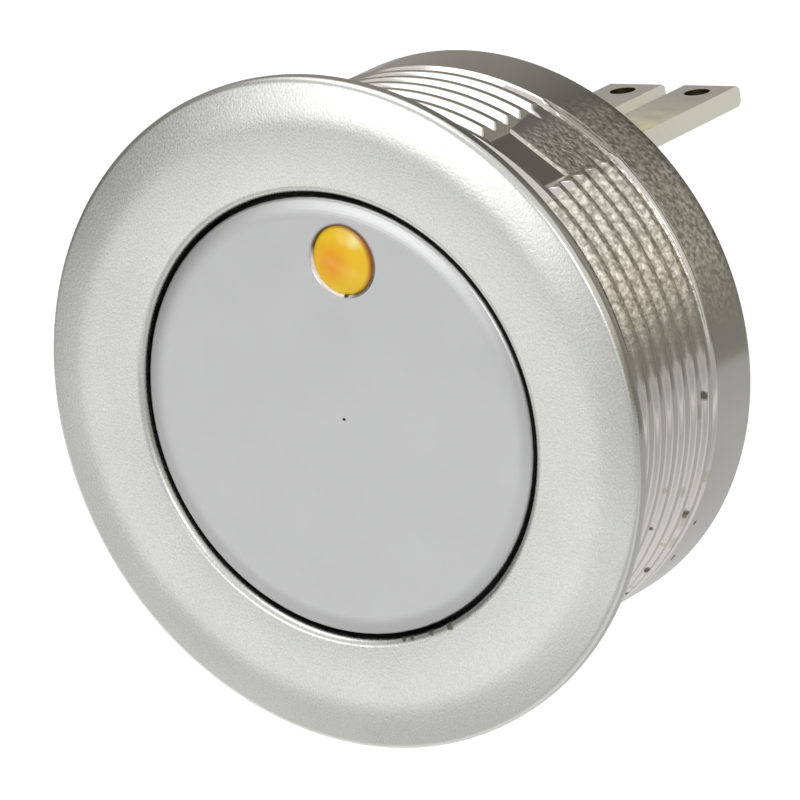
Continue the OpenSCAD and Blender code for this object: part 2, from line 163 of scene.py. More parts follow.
# Sizes of the clouds and grains, depths of the bumps, spans of roughness and other values of the surfaces
NOISE_LOW = 0.3
NOISE_HIGH = 0.7
HOUSING_CLOUD = 2.2
BLAST_GRAIN = 0.1
PEEL_GRAIN = 0.19
MOTTLED_SPAN = (0.35, 0.65)
MARK_FRAY = 0.2
MARK_FRAY_SPAN = (-0.5, 0.5)
MARK_FADE = (0.4, 1.4)
SPECK_FRAY = 0.1
SPECK_FRAY_SPAN = (-0.4, 0.4)
CAP_CLOUD = 2.5
CAP_GRAIN = 0.07
CAP_GRAIN_SHARE = 0.02
TIN_CLOUD = 0.9
LENS_CLOUD = 0.7
HAZE = 0.3
FINE_DETAIL = 3
HOUSING_BUMP = 0.006
TIN_BUMP = 0.001
BLAST_SHARE = 0.35
PEEL_SHARES = (0.1, 5)
BLAST_ROUGH = (0.24, 0.3)
SLEEVE_ROUGH = (0.15, 0.32)
PIT_ROUGH = 0.6
CAP_ROUGH = (0.3, 0.35)
TIN_ROUGH = (0.3, 0.5)
HAZE_ROUGH = (0.04, 0.12)
METAL_ROUGH_HALF = 0.06
PLASTIC_ROUGH_HALF = 0.08
LENS_ROUGH = 0.12
LENS_SPECULAR = 0.35
LENS_SCATTER = 0.2
LENS_SCATTER_REACH = (1.0, 0.5, 0.1)
LENS_SCATTER_MM = 0.2
CLEAR_SHARE = 0.9
CLEAR_IOR = 1.49
SHEARED_METALLIC = 0.25
SHEARED_FACING = (0.6, 0.8)
WALL_FACING = 0.5

# Colours, a dark and a light one where they are two
FRONT_METAL = ((0.555, 0.56, 0.53), (0.58, 0.585, 0.555))
SMOOTH_METAL = ((0.56, 0.545, 0.505), (0.585, 0.57, 0.535))
# Mottled plating whose light end is partly a painted sheen on the coarser sector
MOTTLED_SHEEN_METAL = ((0.34, 0.32, 0.27), (0.78, 0.75, 0.66))
# Painted shade on the groove's floor, on the neck under the bezel and on the band's rear edge
PAINTED_SHADE = (0.1, 0.09, 0.08, 1)
STAIN = (0.3, 0.28, 0.19, 1)
PIT = (0.16, 0.155, 0.125, 1)
SATIN_METAL = ((0.48, 0.482, 0.483), (0.5, 0.502, 0.503))
SPECK = (0.04, 0.04, 0.045, 1)
# Painted shade above and painted highlight below left on the edge round the lamp
LAMP_EDGE_SHADE = (0.13, 0.11, 0.08, 1)
LAMP_EDGE_HIGHLIGHT = (0.97, 0.97, 0.96, 1)
TIN = ((0.78, 0.775, 0.72), (0.86, 0.855, 0.8))
TINGE = (0.8, 0.74, 0.26, 1)
SHEARED_TIN = (0.8, 0.79, 0.68, 1)
# Painted shade on the walls of the blades' holes
HOLE_WALL_SHADE = (0.2, 0.18, 0.09, 1)
YELLOW = ((0.9, 0.56, 0.015), (0.9, 0.6, 0.025))
ORANGE = (0.88, 0.36, 0.012, 1)
# Painted highlight at the lens's upper right
HIGHLIGHT_YELLOW = (0.92, 0.8, 0.3, 1)
# Painted shade along the lens's right edge
SHADE_BROWN = (0.36, 0.095, 0.008, 1)
CLEAR = (0.92, 0.94, 0.95, 1)

# Round spots on the lens in shares of its radius: their middles, and where they begin and end to fade. The
# second is a painted highlight, and outside the third the edge gets painted shade in brown
ORANGE_SPOT = (-0.35, -0.12, 0.2, 0.75)
HIGHLIGHT_SPOT = (0.33, 0.64, 0.02, 0.3)
UNSHADED_SPOT = (-0.16, -0.08, 0.95, 1.09)

# Fineness of the meshes
ROUND_STEPS = 6
FINE_STEP = 0.25
FINE_HALF_WIDTH = 14
COARSE_STEPS = 266
THREAD_ROW = 0.05
THIN = 0.005
LENS_COLUMNS = 96
DOME_ROWS = 12
WIRE_SIDES = 16
COIL_STEPS = 72
SMOOTH_ANGLE = math.radians(35)


# Geometry

def rounded(corners, steps=ROUND_STEPS):
    """Points of an outline whose corners (r, y, radius) are rounded by arcs."""
    points = []
    for i, (r, y, radius) in enumerate(corners):
        here = Vector((r, y))
        if not radius:
            points.append(here)
            continue
        back = (Vector(corners[i - 1][:2]) - here).normalized()
        ahead = (Vector(corners[i + 1][:2]) - here).normalized()
        half = back.angle(ahead) / 2
        reach = radius / math.tan(half)
        middle = here + (back + ahead).normalized() * (radius / math.sin(half))
        start = here + back * reach - middle
        end = here + ahead * reach - middle
        sweep = start.angle_signed(end)
        for k in range(steps + 1):
            points.append(middle + Matrix.Rotation(-sweep * k / steps, 2) @ start)
    return points


def smoothstep(low, high, value):
    """0 up to low, 1 from high on, and an even curve between."""
    share = min(1, max(0, (value - low) / (high - low)))
    return share * share * (3 - 2 * share)


def add_object(name, data):
    """A new object, in the scene."""
    made = bpy.data.objects.new(name, data)
    bpy.context.scene.collection.objects.link(made)
    return made


def grid_object(name, rings, closed_rows):
    """A mesh of rings of points in millimetres, each joined to the next."""
    columns = len(rings[0])
    points = [Vector(p) * MM for ring in rings for p in ring]
    faces = []
    for i in range(len(rings) if closed_rows else len(rings) - 1):
        here = i * columns
        there = (i + 1) % len(rings) * columns
        for j in range(columns):
            k = (j + 1) % columns
            faces.append((here + j, here + k, there + k, there + j))
    if not closed_rows:
        faces.append(tuple(range(columns - 1, -1, -1)))
        faces.append(tuple((len(rings) - 1) * columns + j for j in range(columns)))
    mesh = bpy.data.meshes.new(name)
    mesh.from_pydata(points, [], faces)
    mesh.shade_smooth()
    mesh.set_sharp_from_angle(angle=SMOOTH_ANGLE)
    return add_object(name, mesh)


def even_normals(piece):
    """Lets large flat faces set the shading next to their rounded edges."""
    modifier = piece.modifiers.new("even_normals", "WEIGHTED_NORMAL")
    modifier.keep_sharp = True


def thread_radius(turn, y):
    """Radius of the threaded length, with its rounded crests and its chamfered ends."""
    phase = (y - CREST_DEPTH) / THREAD_PITCH - (turn - CREST_TURN) / 360
    off_crest = 2 * abs(phase - round(phase))
    crest = THREAD_R - THREAD_DEPTH * smoothstep(CREST_SHARE, 1 - ROOT_SHARE, off_crest)
    front = THREAD_R - LEAD_IN + y - NECK_LEN
    return min(crest, front, BAND_R - 2 * BAND_CHAMFER + THREAD_END - y)


def key_radius(turn, y):
    """Radius of the keying groove's walls and of its floor, which has a low step and rises to the rear."""
    off = math.radians(abs((turn - KEY_TURN + 180) % 360 - 180))
    if off > math.radians(FINE_HALF_WIDTH) or not KEY_ENDS[0] <= y < KEY_ENDS[1]:
        # Off the groove: the bezel's radius is no limit to the sleeve
        return BEZEL_R
    rise = max(0, y - KEY_STEP_AT[1]) / (KEY_ENDS[1] - KEY_STEP_AT[1])
    floor = KEY_FLOOR + KEY_STEP * smoothstep(*KEY_STEP_AT, y) + KEY_RISE * rise
    slope = (KEY_MOUTH_W - KEY_FLOOR_W) / 2 / (THREAD_R - KEY_FLOOR)
    half_w = KEY_FLOOR_W / 2 + slope * (floor - KEY_FLOOR)
    if floor * math.tan(off) < half_w:
        return floor / math.cos(off)
    return (half_w - slope * floor) / (math.sin(off) - slope * math.cos(off))


def housing_turns():
    """Turns of the housing's columns, finer across the keying groove."""
    fine = int(2 * FINE_HALF_WIDTH / FINE_STEP)
    turns = [KEY_TURN - FINE_HALF_WIDTH + i * FINE_STEP for i in range(fine)]
    rest = 360 - 2 * FINE_HALF_WIDTH
    return turns + [KEY_TURN + FINE_HALF_WIDTH + rest * i / COARSE_STEPS for i in range(COARSE_STEPS)]


def bezel_outline():
    """Section from the lip inside the hole over the bezel to the end of the neck."""
    flat_r = HOLE_R + BEZEL_FLAT_SHARE * (BEZEL_R - HOLE_R)
    return rounded([
        (FRONT_BORE_R, LIP_DEPTH, 0),
        (HOLE_R, LIP_DEPTH, FINE_ROUND),
        (HOLE_R, -BEZEL_H, HOLE_ROUND),
        (flat_r, -BEZEL_H, BEZEL_BLEND),
        (BEZEL_R, -BEZEL_RIM, RIM_ROUND),
        (BEZEL_R, 0, RIM_BACK_ROUND),
        (NECK_R, 0, FINE_ROUND),
        (NECK_R, NECK_LEN, 0),
    ])


def rear_outline():
    """Section from the end of the thread over the band and back through the bore."""
    return rounded([
        (BAND_R - BAND_CHAMFER, THREAD_END - BAND_CHAMFER, 0),
        (BAND_R, THREAD_END, FINE_ROUND),
        (BAND_R, KEY_ENDS[1] - THIN, 0),
        (BAND_R, KEY_ENDS[1], 0),
        (BAND_R, BODY_LEN, BAND_ROUND),
        (REAR_BORE_R, BODY_LEN, FINE_ROUND),
        (REAR_BORE_R, RING_GROOVE[1], 0),
        (RING_GROOVE_R, RING_GROOVE[1], 0),
        (RING_GROOVE_R, RING_GROOVE[0], 0),
        (REAR_BORE_R, RING_GROOVE[0], 0),
        (REAR_BORE_R, BASE_STEP, 0),
        (FRONT_BORE_R, BASE_STEP, 0),
    ])


def make_housing():
    """Bezel and sleeve with the cut thread and the keying groove across it."""
    thread_rows = int((THREAD_END - BAND_CHAMFER - NECK_LEN) / THREAD_ROW)
    rows = [(r, y, False) for r, y in bezel_outline()]
    rows += [(THREAD_R, NECK_LEN + i * THREAD_ROW, True) for i in range(thread_rows)]
    rows += [(r, y, False) for r, y in rear_outline()]
    turns = housing_turns()
    rings = []
    for r, y, threaded in rows:
        ring = []
        for turn in turns:
            radius = thread_radius(turn, y) if threaded else r
            if r > NECK_R:
                radius = min(radius, key_radius(turn, y))
            angle = math.radians(turn)
            ring.append((radius * math.sin(angle), y, radius * math.cos(angle)))
        rings.append(ring)
    return grid_object("threaded_housing", rings, True)


def make_lens():
    """Domed lens with a small round at its edge."""
    sphere_r = (LENS_R ** 2 + LENS_DOME ** 2) / (2 * LENS_DOME)
    middle = LENS_EDGE - LENS_DOME + sphere_r
    half = math.asin((LENS_R - LENS_ROUND) / sphere_r)
    outline = []
    for i in range(1, DOME_ROWS + 1):
        a = half * i / DOME_ROWS
        outline.append((sphere_r * math.sin(a), middle - sphere_r * math.cos(a)))
    edge_y = outline[-1][1]
    outline += [(LENS_R, edge_y + LENS_ROUND), (LENS_R, LENS_BACK)]
    rings = []
    for r, y in outline:
        angles = [2 * math.pi * j / LENS_COLUMNS for j in range(LENS_COLUMNS)]
        rings.append([(r * math.sin(a), y, LENS_UP + r * math.cos(a)) for a in angles])
    return grid_object("amber_lens", rings, False)


def make_coil(name, mean_r, wire, turns, front, back):
    """A spring of round wire whose last turns lie close at each end."""
    pile = wire * CLOSED_TURN
    run = back - front - wire - 2 * pile
    rings = []
    for i in range(int(turns * COIL_STEPS) + 1):
        turn = i / COIL_STEPS
        rise = min(1, max(0, (turn - CLOSED_TURN) / (turns - 2 * CLOSED_TURN)))
        stacked = min(turn, CLOSED_TURN) + max(0, turn - turns + CLOSED_TURN)
        middle = back - wire / 2 - run * rise - wire * stacked
        ring = []
        for j in range(WIRE_SIDES):
            a = 2 * math.pi * j / WIRE_SIDES
            r = mean_r + wire / 2 * math.cos(a)
            around = 2 * math.pi * turn
            ring.append((r * math.cos(around), middle - wire / 2 * math.sin(a), r * math.sin(around)))
        rings.append(ring)
    return grid_object(name, rings, False)


# Materials

def shader(name):
    """A new material, its node tree and its surface shader."""
    made = bpy.data.materials.new(name)
    made.use_nodes = True
    return made, made.node_tree, made.node_tree.nodes["Principled BSDF"]


def feed(tree, socket, value):
    """Links a socket to another node's socket, or sets it to a constant."""
    if isinstance(value, bpy.types.NodeSocket):
        tree.links.new(value, socket)
    else:
        socket.default_value = value


def node(tree, kind, inputs=None, **settings):
    """A node whose inputs are constants or other nodes' sockets."""
    made = tree.nodes.new(kind)
    for key, value in settings.items():
        setattr(made, key, value)
    for key, value in (inputs or {}).items():
        feed(tree, made.inputs[key], value)
    return made


def place(tree):
    """A point's place at rest, in metres."""
    return node(tree, "ShaderNodeTexCoord").outputs["Object"]


def axes(tree):
    """The three coordinates of a point, in metres."""
    return node(tree, "ShaderNodeSeparateXYZ", {"Vector": place(tree)}).outputs


def sums(tree, operation, *values):
    """A result of one of the math node's operations."""
    return node(tree, "ShaderNodeMath", dict(enumerate(values)), operation=operation).outputs[0]


def product(tree, first, *others):
    """All the values multiplied."""
    for other in others:
        first = sums(tree, "MULTIPLY", first, other)
    return first


def distance(tree, value, middle):
    """How far a coordinate is from a place in millimetres."""
    return sums(tree, "ABSOLUTE", sums(tree, "SUBTRACT", value, middle * MM))


def below(tree, value, limit):
    """1 where a coordinate is less than a limit in millimetres."""
    return sums(tree, "LESS_THAN", value, limit * MM)


def noise(tree, size, detail=2.0):
    """Noise whose features are about a size in millimetres."""
    inputs = {"Vector": place(tree), "Scale": 1 / (size * MM), "Detail": detail}
    return node(tree, "ShaderNodeTexNoise", inputs).outputs["Fac"]


def spread(tree, value, low, high, start=NOISE_LOW, end=NOISE_HIGH):
    """A value from start to end brought to low to high."""
    inputs = {"Value": value, "From Min": start, "From Max": end, "To Min": low, "To Max": high}
    return node(tree, "ShaderNodeMapRange", inputs).outputs["Result"]


def between(tree, value, low, high, ends):
    """A value that goes evenly from low to high between two places in millimetres."""
    start, end = ends
    return spread(tree, value, low, high, start * MM, end * MM)


def ramp(tree, value, stops):
    """Colours along a value."""
    made = node(tree, "ShaderNodeValToRGB", {"Fac": value})
    elements = made.color_ramp.elements
    while len(elements) < len(stops):
        elements.new(1)
    for element, (position, color) in zip(elements, stops):
        element.position = position
        element.color = (*color, 1)
    return made.outputs["Color"]


def shades(tree, value, colors, start=NOISE_LOW, end=NOISE_HIGH):
    """A dark and a light colour along a value."""
    dark, light = colors
    return ramp(tree, value, [(start, dark), (end, light)])


# Places of the two inputs and of the output among the mix node's sockets
MIX_SOCKETS = {"RGBA": (6, 7, 2), "FLOAT": (2, 3, 0)}


def mixed(tree, share, first, second, kind="RGBA"):
    """Two colours or values mixed by a share."""
    made = node(tree, "ShaderNodeMix", data_type=kind)
    a, b, out = MIX_SOCKETS[kind]
    for socket, value in ((0, share), (a, first), (b, second)):
        feed(tree, made.inputs[socket], value)
    return made.outputs[out]


def bumped(tree, height, depth):
    """A bumped normal, with the depth in millimetres."""
    return node(tree, "ShaderNodeBump", {"Height": height, "Distance": depth * MM}).outputs["Normal"]


def marked(tree, across, along, marks, fray):
    """1 inside any of some small oval marks with frayed edges, given two coordinates."""
    share = 0.0
    for middle_a, middle_b, half_a, half_b in marks:
        a = sums(tree, "DIVIDE", sums(tree, "SUBTRACT", across, middle_a * MM), half_a * MM)
        b = sums(tree, "DIVIDE", sums(tree, "SUBTRACT", along, middle_b * MM), half_b * MM)
        far = sums(tree, "ADD", product(tree, a, a), product(tree, b, b))
        share = sums(tree, "MAXIMUM", share, spread(tree, sums(tree, "ADD", far, fray), 1, 0, *MARK_FADE))
    return share


def connect(tree, surface, **sockets):
    """Sets or links the surface's sockets, named with underscores for blanks."""
    for key, value in sockets.items():
        feed(tree, surface.inputs[key.replace("_", " ")], value)


def coarse_turns(tree, turn):
    """1 on the turns of the sleeve whose plating is coarser."""
    return product(tree, between(tree, turn, 0, 1, COARSE_START), between(tree, turn, 1, 0, COARSE_END))


def coarse_sector(tree, turn, y):
    """1 on the coarser thread and band, and on the rear of the groove's floor."""
    behind_step = between(tree, y, 0, 1, KEY_STEP_AT)
    past_groove = sums(tree, "GREATER_THAN", turn, COARSE_GROOVE_TURN * MM)
    covered = sums(tree, "MAXIMUM", behind_step, past_groove)
    thread = product(tree, covered, between(tree, y, 0, 1, COARSE_FRONT))
    middle, *fade = BAND_LINE
    off_line = between(tree, distance(tree, y, middle), 0, 1, fade)
    return product(tree, coarse_turns(tree, turn), thread, off_line)


def sleeve_color(tree, turn, y, coarse, cloud, peel):
    """Smooth plating, mottled with a partly painted sheen on the coarser sector and with painted shade on
    the groove's floor.
    """
    groove = product(tree, below(tree, turn, COARSE_GROOVE_TURN), below(tree, y, THREAD_END))
    # Painted shade on the groove's floor
    dark = product(tree, groove, GROOVE_DARK_SHARE)
    # The mottled colour's light end is partly a painted sheen
    mottled = mixed(tree, dark, shades(tree, peel, MOTTLED_SHEEN_METAL, *MOTTLED_SPAN), PAINTED_SHADE)
    return mixed(tree, coarse, shades(tree, cloud, SMOOTH_METAL), mottled)


def painted_shade_parts(tree, turn, y):
    """Share of painted shade on the neck and at the rear edge of the coarser sector."""
    neck_front = between(tree, y, 0, NECK_DARK_SHARE, (0, FINE_ROUND))
    neck = product(tree, neck_front, between(tree, y, 1, 0, NECK_DARK))
    rear = product(tree, between(tree, y, 0, DARK_EDGE_SHARE, DARK_EDGE), coarse_turns(tree, turn))
    return sums(tree, "MAXIMUM", neck, rear)


def housing_marks(tree, turn, x, y, z):
    """Share of the stains, and share of the pits and of the chips at the hole."""
    fray = spread(tree, noise(tree, MARK_FRAY), *MARK_FRAY_SPAN)
    stains = product(tree, marked(tree, turn, y, SLEEVE_STAINS, fray), STAIN_SHARE)
    chips = product(tree, marked(tree, x, z, HOLE_MARKS, fray), below(tree, y, HOLE_MARKS_END))
    return stains, sums(tree, "MAXIMUM", marked(tree, turn, y, SLEEVE_MARKS, fray), chips)


def housing_metal():
    """Bead-blasted bezel and a smoother plated sleeve behind it, with painted sheen and painted shade on
    the sleeve, stains and small pits.
    """
    made, tree, surface = shader("housing_metal")
    x, y, z = axes(tree)
    # Degrees are scaled by MM too, so that turns and depths go through the same functions
    turn = sums(tree, "MULTIPLY", sums(tree, "ARCTAN2", x, z), math.degrees(1) * MM)
    sleeve = between(tree, y, 0, 1, SLEEVE_FRONT)
    coarse = coarse_sector(tree, turn, y)
    cloud, blast, peel = [noise(tree, size) for size in (HOUSING_CLOUD, BLAST_GRAIN, PEEL_GRAIN)]
    plating = sleeve_color(tree, turn, y, coarse, cloud, peel)
    clean = mixed(tree, sleeve, shades(tree, cloud, FRONT_METAL), plating)
    stains, pits = housing_marks(tree, turn, x, y, z)
    # Painted shade on the neck and at the band's rear edge, under the stains
    stains_and_shade = mixed(tree, stains, mixed(tree, painted_shade_parts(tree, turn, y), clean, PAINTED_SHADE), STAIN)
    sleeve_rough = spread(tree, coarse, *SLEEVE_ROUGH, 0, 1)
    rough = mixed(tree, sleeve, spread(tree, blast, *BLAST_ROUGH), sleeve_rough, "FLOAT")
    waves = product(tree, peel, spread(tree, coarse, *PEEL_SHARES, 0, 1))
    grain = mixed(tree, sleeve, spread(tree, blast, 0, BLAST_SHARE), waves, "FLOAT")
    connect(tree, surface, Base_Color=mixed(tree, pits, stains_and_shade, PIT), Metallic=1.0,
            Roughness=mixed(tree, pits, rough, PIT_ROUGH, "FLOAT"),
            Normal=bumped(tree, grain, HOUSING_BUMP))
    return made


def round_distance(tree, a, b):
    """Distance of a point from the origin of two coordinates."""
    return sums(tree, "SQRT", sums(tree, "ADD", product(tree, a, a), product(tree, b, b)))


def cap_metal():
    """Fine satin face of the button, with two specks and a painted highlight and painted shade on the edge
    round the lamp.
    """
    made, tree, surface = shader("cap_metal")
    x, _, z = axes(tree)
    above = sums(tree, "SUBTRACT", z, LENS_UP * MM)
    away = round_distance(tree, x, above)
    low_left = sums(tree, "ADD", product(tree, x, LOW_LEFT[0]), product(tree, above, LOW_LEFT[1]))
    edge = between(tree, away, 1, 0, LAMP_EDGE)
    # The edge round the lamp gets a painted highlight below left and painted shade above
    edge_highlight_and_shade = mixed(tree, between(tree, low_left, 0, 1, LAMP_LIT), LAMP_EDGE_SHADE, LAMP_EDGE_HIGHLIGHT)
    face = mixed(tree, edge, shades(tree, noise(tree, CAP_CLOUD), SATIN_METAL), edge_highlight_and_shade)
    specks = marked(tree, x, z, FACE_MARKS, spread(tree, noise(tree, SPECK_FRAY), *SPECK_FRAY_SPAN))
    grain = noise(tree, CAP_GRAIN)
    height = sums(tree, "ADD", between(tree, away, 0, 1, LAMP_RIM), product(tree, grain, CAP_GRAIN_SHARE))
    connect(tree, surface, Base_Color=mixed(tree, specks, face, SPECK),
            Metallic=spread(tree, edge, 1, 0, 0, 1), Roughness=spread(tree, grain, *CAP_ROUGH),
            Normal=bumped(tree, height, LAMP_RIM_DEPTH))
    return made


def plain_metal(name, dark, light, roughness, size, depth):
    """Metal with a fine grain: wire, strip, pins and contacts."""
    made, tree, surface = shader(name)
    grain = noise(tree, size, FINE_DETAIL)
    connect(tree, surface, Base_Color=shades(tree, grain, (dark, light)), Metallic=1.0,
            Roughness=spread(tree, grain, roughness - METAL_ROUGH_HALF, roughness + METAL_ROUGH_HALF),
            Normal=bumped(tree, grain, depth))
    return made


def blade_masks(tree, x, y, z):
    """1 on the blades' sheared sides, and 1 on the walls of the switch blades' holes, which get painted
    shade.
    """
    across = sums(tree, "ADD", product(tree, x, math.cos(BASE_TURN)), product(tree, z, math.sin(BASE_TURN)))
    aside = distance(tree, sums(tree, "ABSOLUTE", across), BLADE_AT)
    facing = node(tree, "ShaderNodeTexCoord").outputs["Normal"]
    parts = node(tree, "ShaderNodeSeparateXYZ", {"Vector": facing}).outputs
    sideways = spread(tree, sums(tree, "ABSOLUTE", parts["X"]), 0, 1, *SHEARED_FACING)
    sheared = product(tree, sideways, sums(tree, "GREATER_THAN", aside, BLADE_CORE * MM))
    upright = sums(tree, "LESS_THAN", sums(tree, "ABSOLUTE", parts["Z"]), WALL_FACING)
    at_hole = below(tree, distance(tree, y, BLADE_HOLE_AT), BLADE_HOLE_HALF)
    return sheared, product(tree, upright, below(tree, aside, BLADE_CORE), at_hole)


def terminal_metal():
    """Tinned strip with duller sheared sides, painted shade on the hole walls and a yellowish tinge towards
    the base.
    """
    made, tree, surface = shader("terminal_metal")
    x, y, z = axes(tree)
    sheared, hole = blade_masks(tree, x, y, z)
    cloud = noise(tree, TIN_CLOUD, FINE_DETAIL)
    near = product(tree, between(tree, y, 1, 0, TINGE_END), spread(tree, cloud, *TINGE_SHARES))
    tinged = mixed(tree, near, shades(tree, cloud, TIN), TINGE)
    # Painted shade on the walls of the blades' holes
    strip = mixed(tree, hole, tinged, HOLE_WALL_SHADE)
    dull = sums(tree, "MAXIMUM", sheared, near)
    connect(tree, surface, Base_Color=mixed(tree, sheared, strip, SHEARED_TIN),
            Metallic=spread(tree, dull, 1, SHEARED_METALLIC, 0, 1),
            Roughness=spread(tree, sheared, *TIN_ROUGH, 0, 1), Normal=bumped(tree, cloud, TIN_BUMP))
    return made


def moulded(name, dark, light, roughness, size, depth):
    """Moulded plastic, rubber or board with a fine texture."""
    made, tree, surface = shader(name)
    grain = noise(tree, size, FINE_DETAIL)
    connect(tree, surface, Base_Color=shades(tree, grain, (dark, light)),
            Roughness=spread(tree, grain, roughness - PLASTIC_ROUGH_HALF, roughness + PLASTIC_ROUGH_HALF),
            Normal=bumped(tree, grain, depth))
    return made


def amber_lens():
    """Tinted lens: orange at its heart, with a painted highlight at the upper right and painted shade in
    brown along its right edge.
    """
    made, tree, surface = shader("lens_amber")
    x, _, z = axes(tree)
    across = sums(tree, "DIVIDE", x, LENS_R * MM)
    along = sums(tree, "DIVIDE", sums(tree, "SUBTRACT", z, LENS_UP * MM), LENS_R * MM)

    def within(middle_a, middle_b, near, far):
        a = sums(tree, "SUBTRACT", across, middle_a)
        b = sums(tree, "SUBTRACT", along, middle_b)
        return spread(tree, round_distance(tree, a, b), 1, 0, near, far)

    yellow = shades(tree, noise(tree, LENS_CLOUD), YELLOW)
    orange = mixed(tree, within(*ORANGE_SPOT), yellow, ORANGE)
    # Painted highlight at the upper right
    highlighted = mixed(tree, within(*HIGHLIGHT_SPOT), orange, HIGHLIGHT_YELLOW)
    # Painted shade in brown along the right edge, outside the round spot
    connect(tree, surface, Base_Color=mixed(tree, within(*UNSHADED_SPOT), SHADE_BROWN, highlighted), Roughness=LENS_ROUGH,
            Specular_IOR_Level=LENS_SPECULAR, Subsurface_Weight=LENS_SCATTER,
            Subsurface_Radius=LENS_SCATTER_REACH, Subsurface_Scale=LENS_SCATTER_MM * MM)
    return made


def clear_plastic():
    """Clear rod with a little haze."""
    made, tree, surface = shader("clear_plastic")
    connect(tree, surface, Base_Color=CLEAR, Roughness=spread(tree, noise(tree, HAZE), *HAZE_ROUGH),
            Transmission_Weight=CLEAR_SHARE, IOR=CLEAR_IOR)
    return made


MATERIALS = {
    "housing_metal": housing_metal(),
    "cap_metal": cap_metal(),
    "lens_amber": amber_lens(),
    "clear_plastic": clear_plastic(),
    "terminal_metal": terminal_metal(),
    "spring_steel": plain_metal("spring_steel", (0.42, 0.43, 0.44), (0.6, 0.61, 0.63), 0.3, 0.12, 0.003),
    "contact_metal": plain_metal("contact_metal", (0.7, 0.7, 0.69), (0.86, 0.86, 0.85), 0.25, 0.15, 0.003),
    "bridge_copper": plain_metal("bridge_copper", (0.6, 0.36, 0.16), (0.75, 0.48, 0.25), 0.3, 0.2, 0.003),
    "base_plastic": moulded("base_plastic", (0.018, 0.018, 0.019), (0.03, 0.03, 0.032), 0.5, 0.15, 0.006),
    "plunger_plastic": moulded("plunger_plastic", (0.72, 0.71, 0.66), (0.8, 0.79, 0.75), 0.45, 0.2, 0.004),
    "seal_rubber": moulded("seal_rubber", (0.012, 0.012, 0.012), (0.022, 0.022, 0.022), 0.7, 0.08, 0.006),
    "board": moulded("board", (0.012, 0.09, 0.035), (0.02, 0.13, 0.05), 0.4, 0.4, 0.004),
    "led_body": moulded("led_body", (0.78, 0.74, 0.6), (0.88, 0.84, 0.7), 0.3, 0.3, 0.002),
    "resistor": moulded("resistor", (0.012, 0.012, 0.014), (0.03, 0.03, 0.034), 0.35, 0.2, 0.003),
}


def paint(piece, slot):
    """Gives a piece the material of its slot and no other."""
    piece.data.materials.clear()
    piece.data.materials.append(MATERIALS[slot])


for part in frame["record"]["subparts"]:
    paint(frame["nodes"][part["node"]], part["material_slot"])


# Pieces

def dress(piece, body, replaced, slot):
    """Paints a piece, sets it on its body and lets it stand for its solid."""
    paint(piece, slot)
    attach(piece, body)
    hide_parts(replaced)


def dress_coil(name, body, replaced, size):
    """A coil of spring steel set on its body in place of its solid, with a mesh of its own."""
    coil = make_coil(name, **size)
    dress(coil, body, replaced, "spring_steel")
    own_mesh(coil)


housing = make_housing()
even_normals(housing)
dress(housing, "housing_body", "housing", "housing_metal")
dress(make_lens(), "button", "lens", "lens_amber")
dress_coil("return_coil", "housing_body", "return_spring", RETURN_SPRING)
dress_coil("contact_coil", "bridge", "contact_spring", CONTACT_SPRING)


# Camera at the photograph's viewing angle, in millimetres

AZIMUTH = math.radians(32.594)
ELEVATION = math.radians(19.554)
DISTANCE = 285.826
SLIDE = (1.865, 0.4359)
LENS_MM = 360
SENSOR_MM = 36
PART_TURN = math.radians(2.5)
CLIP_M = (0.01, 10)


def add_camera():
    """Looks from in front, from the right and from above, turned as the part is in the photograph."""
    right = Vector((math.cos(AZIMUTH), math.sin(AZIMUTH), 0))
    back = Vector((math.sin(AZIMUTH) * math.cos(ELEVATION), -math.cos(AZIMUTH) * math.cos(ELEVATION),
                   math.sin(ELEVATION)))
    up = back.cross(right)
    data = bpy.data.cameras.new("camera")
    data.lens = LENS_MM
    data.sensor_width = SENSOR_MM
    data.clip_start, data.clip_end = CLIP_M
    camera = add_object("camera", data)
    turn = Matrix((right, up, back)).transposed().to_4x4()
    place_at = (back * DISTANCE + right * SLIDE[0] + up * SLIDE[1]) * MM
    camera.matrix_world = Matrix.Rotation(-PART_TURN, 4, "Y") @ Matrix.Translation(place_at) @ turn
    bpy.context.scene.camera = camera


add_camera()


# Stage and light, in metres

FLOOR_Z = -0.1
FLOOR_HALF = 3
FLOOR_COLOR = (0.5, 0.5, 0.5, 1)
FLOOR_ROUGH = 0.9
FLOOR_SEEN = 0.6
WORLD_LEVEL = 0.85
WHITE = (1, 1, 1, 1)
BLACK = (0, 0, 0, 1)
WARM_WHITE = (1, 0.96, 0.88, 1)
CREAM = (1, 0.95, 0.82, 1)

# Levels that mirrors show, by place along the floor and the cards, and the span of the places
FLOOR_GLOW = [(-0.3, 0.2), (-0.26, 0.03), (-0.235, 0.16), (-0.21, 1.35), (-0.18, 1.2), (-0.15, 0.4),
              (-0.11, 0.15), (-0.06, 0.35), (-0.02, 0.8), (0.05, 0.8), (0.09, 0.15)]
FLOOR_GLOW_SPAN = (-0.4, 0.2)
FLOOR_SIDES = [(-0.28, 0.05), (-0.21, 0.5), (-0.18, 1.1), (-0.155, 1), (-0.13, 0.8), (-0.09, 1.25),
               (-0.05, 0.72), (0.11, 0.6), (0.2, 0.55)]
FLOOR_SIDES_SPAN = (-0.4, 0.4)
REAR_GLOW = [(-0.35, 0.35), (-0.2, 0.3), (-0.05, 0.13), (0.1, 0.24), (0.21, 0.44), (0.3, 0.26)]
REAR_GLOW_SPAN = (-0.5, 0.5)
LEFT_GLOW = [(-0.05, 0.2), (0.25, 0.4)]
SIDE_GLOW = [(0, 0.24), (0.08, 0.36), (0.2, 1)]
UPRIGHT_SPAN = (-0.1, 0.3)

